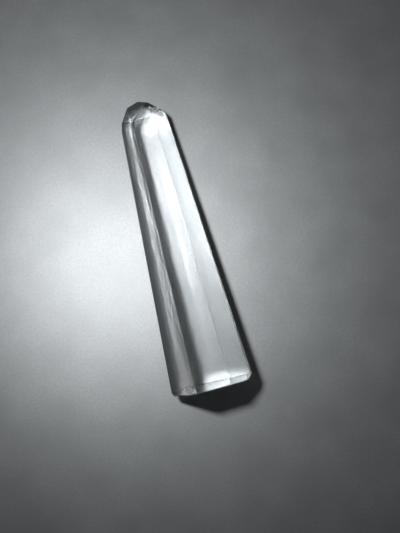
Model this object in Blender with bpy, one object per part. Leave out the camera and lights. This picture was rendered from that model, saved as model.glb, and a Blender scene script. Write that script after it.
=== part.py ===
"""A polished point of clear rock crystal, lying on one of its long faces.

The crystal is one piece. It is described the way a stone is cut: a block is
sliced by one flat face after another, first the six long faces of the tapering
prism, then the short facets of the tip, then the flat base and the narrow
bevel that runs round it. The cutting is done with the point upright, its axis
on +Z and its base at z = 0. The finished stone is then laid on its lowest long
face, with the tip towards +Y.

Lengths are in millimetres until the mesh is made, and then in metres.
"""
import math

import bmesh
import bpy
from mathutils import Matrix, Vector

MM = 0.001

# Overall sizes
BLOCK_WIDTH = 40.0        # rough block that the stone is cut from
BLOCK_HEIGHT = 120.0
BEVEL_HEIGHT = 1.8        # height of the bevel round the base
CHIP_START = 6.3          # the base is worn away beyond this, on its left side
CHIP_RISE = 7.0           # degrees between that worn flat and the base
SNAP = 0.002              # corners closer than this to a cut count as on it

# Long faces: heading round the axis in degrees, distance from the axis at the
# top of the base bevel, how many degrees the face leans in towards the tip, and
# how far the bevel below it brings the edge of the base in.
# Heading 0 points straight up when the stone lies down, and the headings then
# run round towards the right of someone who looks at the tip. The prism was
# ground by eye, so its top face isn't quite parallel to the face it rests on.
LONG_FACES = {
    "top": (6.0, 12.0, 3.6, 0.5),
    "right": (55.0, 10.95, 3.3, 0.7),
    "lower right": (119.5, 9.65, 2.15, 1.5),
    "rest": (180.0, 10.8, 2.75, 0.9),
    "lower left": (250.0, 12.85, 3.35, 1.2),
    "left": (294.5, 9.9, 2.4, 0.6),
}

# Tip facets: heading, slope as the angle between facet and axis in degrees, and
# the height at which the facet's plane meets the axis. The tip was cut by eye,
# so no two facets match and its summit stands a little off the axis.
TIP_FACETS = {
    "front": (1.5, 33.5, 94.8),
    "front left": (-24.0, 43.5, 92.6),
    "left": (-51.5, 32.5, 95.9),
    "front right": (33.5, 29.5, 97.3),
    "right": (85.0, 48.0, 93.6),
    "lower left": (-101.0, 21.5, 105.6),
    "under": (-178.0, 42.5, 96.3),
}


def outward(heading, rise):
    """Unit direction with a heading round the axis and a rise above level."""
    turn = math.radians(heading)
    lift = math.radians(rise)
    return Vector((
        math.sin(turn) * math.cos(lift),
        -math.cos(turn) * math.cos(lift),
        math.sin(lift),
    ))


def rough_block():
    """The block to cut, standing on z = 0 with the axis through its middle."""
    block = bmesh.new()
    bmesh.ops.create_cube(block, size=1.0)
    bmesh.ops.scale(block, vec=(BLOCK_WIDTH, BLOCK_WIDTH, BLOCK_HEIGHT), verts=block.verts)
    bmesh.ops.translate(block, vec=(0.0, 0.0, BLOCK_HEIGHT / 2), verts=block.verts)
    return block


def cut(stone, point, normal):
    """Slice off what lies beyond a plane, and close the cut with one flat face."""
    parts = stone.verts[:] + stone.edges[:] + stone.faces[:]
    result = bmesh.ops.bisect_plane(
        stone, geom=parts, dist=SNAP, plane_co=point, plane_no=normal, clear_outer=True)
    rim = [item for item in result["geom_cut"] if isinstance(item, bmesh.types.BMEdge)]
    if rim:
        bmesh.ops.contextual_create(stone, geom=rim)


def cut_long_faces(stone):
    """The six faces of the prism, each leaning in towards the tip."""
    for heading, distance, lean, _ in LONG_FACES.values():
        point = outward(heading, 0.0) * distance
        point.z = BEVEL_HEIGHT
        cut(stone, point, outward(heading, lean))


def cut_tip(stone):
    """The facets that close the upper end."""
    for heading, slope, height in TIP_FACETS.values():
        cut(stone, Vector((0.0, 0.0, height)), outward(heading, slope))


def cut_base_bevel(stone):
    """A narrow flat under each long face, down to the edge of the base."""
    for heading, distance, _, inset in LONG_FACES.values():
        fall = math.degrees(math.atan2(inset, BEVEL_HEIGHT))
        point = outward(heading, 0.0) * distance
        point.z = BEVEL_HEIGHT
        cut(stone, point, outward(heading, -fall))


def wear_base(stone):
    """The shallow flat where the left side of the base is worn away."""
    cut(stone, outward(270.0, 0.0) * CHIP_START, outward(270.0, CHIP_RISE - 90.0))


def lay_down(stone):
    """Turn the stone onto its rest face, tip towards +Y, and centre it on z = 0."""
    lean = math.radians(LONG_FACES["rest"][2])
    stone.transform(Matrix.Rotation(-math.pi / 2 - lean, 4, "X"))
    spots = [vert.co for vert in stone.verts]
    middle_x = (min(p.x for p in spots) + max(p.x for p in spots)) / 2
    middle_y = (min(p.y for p in spots) + max(p.y for p in spots)) / 2
    floor = min(p.z for p in spots)
    stone.transform(Matrix.Translation((-middle_x, -middle_y, -floor)))
    stone.transform(Matrix.Scale(MM, 4))


def clear_quartz():
    """Colourless, polished rock crystal."""
    material = bpy.data.materials.new("clear_quartz")
    material.use_nodes = True
    surface = material.node_tree.nodes["Principled BSDF"]
    surface.inputs["Base Color"].default_value = (0.96, 0.97, 0.98, 1.0)
    surface.inputs["Metallic"].default_value = 0.0
    surface.inputs["Roughness"].default_value = 0.02
    surface.inputs["IOR"].default_value = 1.544
    surface.inputs["Transmission Weight"].default_value = 1.0
    return material


def build():
    """Clear the scene and make the crystal."""
    for item in list(bpy.data.objects):
        bpy.data.objects.remove(item, do_unlink=True)
    stone = rough_block()
    cut_long_faces(stone)
    cut_tip(stone)
    cut_base_bevel(stone)
    wear_base(stone)
    lay_down(stone)
    bmesh.ops.remove_doubles(stone, verts=stone.verts, dist=SNAP * MM)
    bmesh.ops.recalc_face_normals(stone, faces=stone.faces)
    mesh = bpy.data.meshes.new("quartz_point")
    stone.to_mesh(mesh)
    stone.free()
    crystal = bpy.data.objects.new("quartz_point", mesh)
    crystal.data.materials.append(clear_quartz())
    bpy.context.scene.collection.objects.link(crystal)


build()
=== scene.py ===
# %% [markdown]
# # A polished quartz point
#
# The object is a single piece of clear rock crystal, a little longer than a finger.
# A lapidary has ground it into a tapering six-sided prism with a short faceted
# tip and a flat base, and it lies on one of its long faces. Nearly everything
# the eye sees in it is bent or mirrored floor, so this lesson is mostly about
# three things: exact flat faces, a plain clear material, and honest light.

# %% Load the fixed model
import math

import bmesh
import bpy
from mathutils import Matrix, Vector


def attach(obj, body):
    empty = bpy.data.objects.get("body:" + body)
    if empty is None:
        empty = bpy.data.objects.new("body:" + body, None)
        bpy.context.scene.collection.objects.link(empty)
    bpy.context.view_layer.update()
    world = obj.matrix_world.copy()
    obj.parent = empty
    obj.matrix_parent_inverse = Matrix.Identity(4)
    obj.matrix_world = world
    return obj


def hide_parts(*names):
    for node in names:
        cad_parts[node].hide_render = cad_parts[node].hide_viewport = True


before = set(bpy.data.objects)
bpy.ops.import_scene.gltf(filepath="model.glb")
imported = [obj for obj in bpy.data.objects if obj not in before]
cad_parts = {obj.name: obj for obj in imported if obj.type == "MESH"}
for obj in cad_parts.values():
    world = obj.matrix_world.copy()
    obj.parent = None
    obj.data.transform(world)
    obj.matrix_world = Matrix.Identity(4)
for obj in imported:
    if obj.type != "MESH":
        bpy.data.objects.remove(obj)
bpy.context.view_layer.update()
CRYSTAL = "quartz_point"
MM = 0.001

# %% [markdown]
# ## Two small helpers
#
# Colours are easiest to judge as the hex values of a paint picker, but a
# renderer adds light together, so it needs linear numbers. A material is a
# little graph, and one function that adds a node with its settings and its
# links keeps each graph readable as a list.

# %% Colour and node helpers
def linear(hex_colour):
    """An sRGB hex colour as linear red, green, blue and alpha."""
    channels = [int(hex_colour[i:i + 2], 16) / 255 for i in (1, 3, 5)]
    flat = [c / 12.92 if c <= 0.04045 else ((c + 0.055) / 1.055) ** 2.4 for c in channels]
    return (*flat, 1.0)


def add_node(tree, kind, settings=None, values=None, links=None):
    """A node of a kind, with its settings, its sockets' values and what feeds them."""
    node = tree.nodes.new(kind)
    for name, value in (settings or {}).items():
        setattr(node, name, value)
    for name, value in (values or {}).items():
        node.inputs[name].default_value = value
    for name, source in (links or {}).items():
        tree.links.new(source, node.inputs[name])
    return node


print("mid grey #808080 is", round(linear("#808080")[0], 3), "in linear light")

# %% [markdown]
# ## The camera
#
# The picture was taken from almost straight above, from about two crystal
# lengths away. The position comes from the crystal's own edges: it is the one
# place from which all six long edges fall where they do in the picture. The
# image is taken to be 400 by 533 pixels, and a lens is a length in those pixels.

# %% Place the camera
IMAGE_HEIGHT = 533
FOCAL_PIXELS = 650
SENSOR_WIDTH = 36.0       # mm, along the taller side of the picture
CAMERA_SPOT = Vector((-0.543, -33.936, 206.05)) * MM
CAMERA_TILT = 7.076       # degrees away from straight down
CAMERA_HEADING = 14.531   # degrees that the picture's up side is turned from +Y towards +X

lens_data = bpy.data.cameras.new("camera")
lens_data.sensor_width = SENSOR_WIDTH
lens_data.lens = SENSOR_WIDTH * FOCAL_PIXELS / IMAGE_HEIGHT
lens_data.clip_start = 5 * MM
lens_data.clip_end = 20000 * MM
camera = bpy.data.objects.new("camera", lens_data)
camera.location = CAMERA_SPOT
camera.rotation_euler = (math.radians(CAMERA_TILT), 0.0, -math.radians(CAMERA_HEADING))
bpy.context.scene.collection.objects.link(camera)
bpy.context.scene.camera = camera
print("lens, mm:", round(lens_data.lens, 1))

# %% [markdown]
# ## The crystal's own surface
#
# A polished stone has no truly sharp edges: the last polishing wheel takes a
# tenth of a millimetre or so off each of them. Those narrow rounds matter,
# because each one shows as a hairline where two faces meet. Modelling starts
# from the exact flat faces and rounds only the edges, so no face bulges and the
# view through it stays undistorted. The faces and the rounded edges get a
# material slot each, because the wheel leaves the edges duller.

# %% Round the edges
EDGE_ROUND = 0.15 * MM
TINY_EDGE = 0.08 * MM     # two edges at the tip are shorter than this, too short to round
FLAT_ANGLE = 0.5          # degrees: triangles that meet flatter than this are one face
FACES, EDGES = range(2)   # material slots

def polished_copy(node_name):
    """The solid's own faces, with every edge slightly rounded."""
    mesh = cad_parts[node_name].data.copy()
    mesh.name = "polished_crystal"
    mesh.materials.clear()
    work = bmesh.new()
    work.from_mesh(mesh)
    bmesh.ops.remove_doubles(work, verts=work.verts, dist=TINY_EDGE)
    bmesh.ops.dissolve_limit(
        work, angle_limit=math.radians(FLAT_ANGLE), verts=work.verts, edges=work.edges)
    bmesh.ops.bevel(
        work, geom=work.edges[:], offset=EDGE_ROUND, offset_type="OFFSET",
        segments=2, profile=0.5, affect="EDGES", clamp_overlap=False, material=EDGES)
    work.to_mesh(mesh)
    work.free()
    return mesh


crystal = bpy.data.objects.new("polished_crystal", polished_copy(CRYSTAL))
bpy.context.scene.collection.objects.link(crystal)
for slot, kind in ((FACES, "faces"), (EDGES, "rounded edges")):
    found = [face for face in crystal.data.polygons if face.material_index == slot]
    print(kind, len(found), "area, mm2:", round(sum(face.area for face in found) / MM ** 2, 1))

# %% [markdown]
# ## Rock crystal
#
# Quartz bends light a little more than window glass does, with an index of
# 1.544, and a good polish leaves it almost as smooth as glass. Almost: the wheel
# leaves the faces a trace wavy, which makes what is seen through them shiver
# slightly, and the clear stone swallows a trace of light over a long way. One
# corner of the base is chipped, and there the surface is crackled and dull.

# %% The crystal's faces
QUARTZ_IOR = 1.544
ABSORPTION = ("#ecefee", 3.0)     # what is left of white light, and how fast it goes, per metre
WAVE_SIZE = 7.0 * MM      # from one crest of the polishing waves to the next
HAZE_SIZE = 2.5 * MM      # patches that took the polish a little less well

def crystal_tree(name):
    """A new material with its tree, its shader and the object's own coordinates."""
    material = bpy.data.materials.new(name)
    material.use_nodes = True
    tree = material.node_tree
    surface = tree.nodes["Principled BSDF"]
    surface.inputs["IOR"].default_value = QUARTZ_IOR
    surface.inputs["Transmission Weight"].default_value = 1.0
    place = add_node(tree, "ShaderNodeTexCoord")
    return material, tree, surface, place.outputs["Object"]


def swallow_light(tree):
    """The same faint absorption all through the stone."""
    colour, density = ABSORPTION
    inside = add_node(tree, "ShaderNodeVolumeAbsorption", values={
        "Color": linear(colour), "Density": density})
    tree.links.new(inside.outputs["Volume"], tree.nodes["Material Output"].inputs["Volume"])


def marked_spot(tree, spot, centre, half_sizes):
    """1 in the middle of an egg-shaped spot on the stone, in mm, and 0 outside it."""
    egg = add_node(tree, "ShaderNodeMapping", {"vector_type": "TEXTURE"}, {
        "Location": Vector(centre) * MM, "Scale": Vector(half_sizes) * MM}, {"Vector": spot})
    return add_node(tree, "ShaderNodeTexGradient", {"gradient_type": "SPHERICAL"},
        links={"Vector": egg.outputs["Vector"]}).outputs["Fac"]


CHIP_SPOT = ((-6.6, -44.9, 20.0), (3.4, 2.2, 4.5))      # middle and half sizes, in mm
CRACKLE_SIZE = 0.9 * MM

def rock_crystal():
    """Colourless quartz with a fine polish, chipped at one corner of its base."""
    material, tree, surface, spot = crystal_tree("polished_rock_crystal")
    chips = marked_spot(tree, spot, *CHIP_SPOT)
    crackle = add_node(tree, "ShaderNodeTexVoronoi", {"feature": "DISTANCE_TO_EDGE"}, {
        "Scale": 1 / CRACKLE_SIZE}, {"Vector": spot})
    chipped = add_node(tree, "ShaderNodeMapRange", values={
        "From Min": 0.15, "From Max": 0.55}, links={"Value": chips})
    haze = add_node(tree, "ShaderNodeTexNoise", values={
        "Scale": 1 / HAZE_SIZE, "Detail": 2.0}, links={"Vector": spot})
    add_haze = add_node(tree, "ShaderNodeMapRange", values={
        "From Min": 0.35, "From Max": 0.75, "To Min": 0.0, "To Max": 0.02},
        links={"Value": haze.outputs["Fac"]})
    tint = add_node(tree, "ShaderNodeMix", {"data_type": "RGBA"}, links={
        "Factor": haze.outputs["Fac"]})
    tint.inputs[6].default_value = linear("#ffffff")
    tint.inputs[7].default_value = linear("#f8fbfc")
    waves = add_node(tree, "ShaderNodeTexNoise", values={
        "Scale": 1 / WAVE_SIZE, "Detail": 1.0}, links={"Vector": spot})
    relief = add_node(tree, "ShaderNodeBump", values={
        "Strength": 0.01, "Distance": 0.1 * MM}, links={"Height": waves.outputs["Fac"]})
    splinters = add_node(tree, "ShaderNodeBump", values={"Distance": 0.5 * MM}, links={
        "Height": crackle.outputs["Distance"], "Strength": chipped.outputs["Result"],
        "Normal": relief.outputs["Normal"]})
    dull = add_node(tree, "ShaderNodeMath", {"operation": "MULTIPLY_ADD"}, {1: 0.35}, {
        0: chipped.outputs["Result"], 2: add_haze.outputs["Result"]})
    tree.links.new(tint.outputs[2], surface.inputs["Base Color"])
    tree.links.new(dull.outputs[0], surface.inputs["Roughness"])
    tree.links.new(splinters.outputs["Normal"], surface.inputs["Normal"])
    swallow_light(tree)
    return material


faces_material = rock_crystal()
print("nodes in the crystal's material:", len(faces_material.node_tree.nodes))

# %% [markdown]
# ## Softened edges
#
# The rounded edges are matt enough to hold a little light of their own, and
# they bend the view so strongly that most of them read as a thin grey line. They
# are the same quartz, so only their polish and a slight grey tint set them apart.
# That tint is painted shade: it darkens each edge strip so its hairline reads darker.

# %% The edges' material
WEAR_SIZE = 1.5 * MM      # stretches of an edge that are worn alike

def softened_edges_with_painted_shade():
    """Rounded quartz with a duller polish and a painted grey shade, which together draw each
    edge as a hairline.
    """
    material, tree, surface, spot = crystal_tree("softened_quartz_edges_with_painted_shade")
    wear = add_node(tree, "ShaderNodeTexNoise", values={
        "Scale": 1 / WEAR_SIZE, "Detail": 3.0}, links={"Vector": spot})
    dull = add_node(tree, "ShaderNodeMapRange", values={
        "From Min": 0.3, "From Max": 0.7, "To Min": 0.28, "To Max": 0.42},
        links={"Value": wear.outputs["Fac"]})
    # Painted shade: a grey tint darkens the edge strips and varies at random along them with
    # the wear noise.
    tint = add_node(tree, "ShaderNodeMix", {"data_type": "RGBA"}, links={
        "Factor": wear.outputs["Fac"]})
    tint.inputs[6].default_value = linear("#d3d9dc")
    tint.inputs[7].default_value = linear("#f6fafb")
    tree.links.new(tint.outputs[2], surface.inputs["Base Color"])
    tree.links.new(dull.outputs["Result"], surface.inputs["Roughness"])
    swallow_light(tree)
    return material


for material in (faces_material, softened_edges_with_painted_shade()):
    crystal.data.materials.append(material)
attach(crystal, "root")
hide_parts(CRYSTAL)
print("material slots:", [slot.name for slot in crystal.material_slots])

# %% [markdown]
# ## The floor
#
# The crystal lies on a plain pale grey sheet with a satin finish. Such a finish
# throws the lamp back as a wide soft glow, brightest where the sheet mirrors
# the lamp towards the camera, and that glow gives the whole picture its light
# from left to right. A fine grain keeps the sheet from looking like plastic.

# %% Floor
FLOOR_GAP = 0.02 * MM     # keeps the sheet and the rest face from touching
FLOOR_HALF = 1.5          # metres
GRAIN_SIZE = 0.7 * MM     # the real grain is finer than a pixel, so it is drawn coarser
CLOUD_SIZE = 14.0 * MM    # faint unevenness of the sheet

def satin_floor():
    """A cool grey satin sheet with a fine grain."""
    material = bpy.data.materials.new("satin_sheet")
    material.use_nodes = True
    tree = material.node_tree
    surface = tree.nodes["Principled BSDF"]
    surface.inputs["Metallic"].default_value = 0.92
    spot = add_node(tree, "ShaderNodeTexCoord").outputs["Object"]
    grain = add_node(tree, "ShaderNodeTexNoise", values={
        "Scale": 1 / GRAIN_SIZE, "Detail": 2.0}, links={"Vector": spot})
    clouds = add_node(tree, "ShaderNodeTexNoise", values={
        "Scale": 1 / CLOUD_SIZE, "Detail": 3.0}, links={"Vector": spot})
    both = add_node(tree, "ShaderNodeMath", {"operation": "MULTIPLY"}, links={
        0: grain.outputs["Fac"], 1: clouds.outputs["Fac"]})
    spread = add_node(tree, "ShaderNodeMapRange", values={
        "From Min": 0.12, "From Max": 0.40}, links={"Value": both.outputs[0]})
    tint = add_node(tree, "ShaderNodeMix", {"data_type": "RGBA"}, links={
        "Factor": spread.outputs["Result"]})
    tint.inputs[6].default_value = linear("#bfc3c5")
    tint.inputs[7].default_value = linear("#cfd3d5")
    dull = add_node(tree, "ShaderNodeMapRange", values={"To Min": 0.52, "To Max": 0.54},
        links={"Value": clouds.outputs["Fac"]})
    relief = add_node(tree, "ShaderNodeBump", values={
        "Strength": 0.06, "Distance": 0.05 * MM}, links={"Height": grain.outputs["Fac"]})
    tree.links.new(tint.outputs[2], surface.inputs["Base Color"])
    tree.links.new(dull.outputs["Result"], surface.inputs["Roughness"])
    tree.links.new(relief.outputs["Normal"], surface.inputs["Normal"])
    return material


floor_mesh = bpy.data.meshes.new("floor")
corners = [(-1, -1), (1, -1), (1, 1), (-1, 1)]
floor_points = [(x * FLOOR_HALF, y * FLOOR_HALF, -FLOOR_GAP) for x, y in corners]
floor_mesh.from_pydata(floor_points, [], [(0, 1, 2, 3)])
floor_mesh.materials.append(satin_floor())
floor = bpy.data.objects.new("floor", floor_mesh)
bpy.context.scene.collection.objects.link(floor)
print("floor half width, m:", FLOOR_HALF)

# %% [markdown]
# ## The lamp and the room
#
# One small soft lamp hangs close by, above the crystal's left side. Its place
# was worked out from the dark and bright bands inside the crystal and from the
# edge of the shadow. Light that has gone through the crystal is hard to find
# for a renderer, so path guiding is switched on: it learns where the light
# comes from while it works. The room itself is nearly dark.

# %% Lamp, room and look
LAMP_SPOT = Vector((-38.2, 21.5, 178.0)) * MM
LAMP_AIM = Vector((89.0, 131.0, 0.0)) * MM
LAMP_WIDTH = 27 * MM
LAMP_WATTS = 0.215
ROOM_LIGHT = (0.026, 0.027, 0.028, 1.0)

lamp_data = bpy.data.lights.new("lamp", "AREA")
lamp_data.shape = "DISK"
lamp_data.size = LAMP_WIDTH
lamp_data.energy = LAMP_WATTS
lamp = bpy.data.objects.new("lamp", lamp_data)
lamp.location = LAMP_SPOT
lamp.rotation_euler = (LAMP_AIM - LAMP_SPOT).to_track_quat("-Z", "Y").to_euler()
lamp.visible_camera = False
bpy.context.scene.collection.objects.link(lamp)

world = bpy.data.worlds.new("room")
world.use_nodes = True
world.node_tree.nodes["Background"].inputs["Color"].default_value = ROOM_LIGHT
scene = bpy.context.scene
scene.world = world
scene.view_settings.view_transform = "Standard"
scene.cycles.blur_glossy = 0.0
scene.cycles.sample_clamp_indirect = 0.0
scene.cycles.use_guiding = True
scene.cycles.use_volume_guiding = False
print("lamp distance, mm:", round(LAMP_SPOT.length / MM))
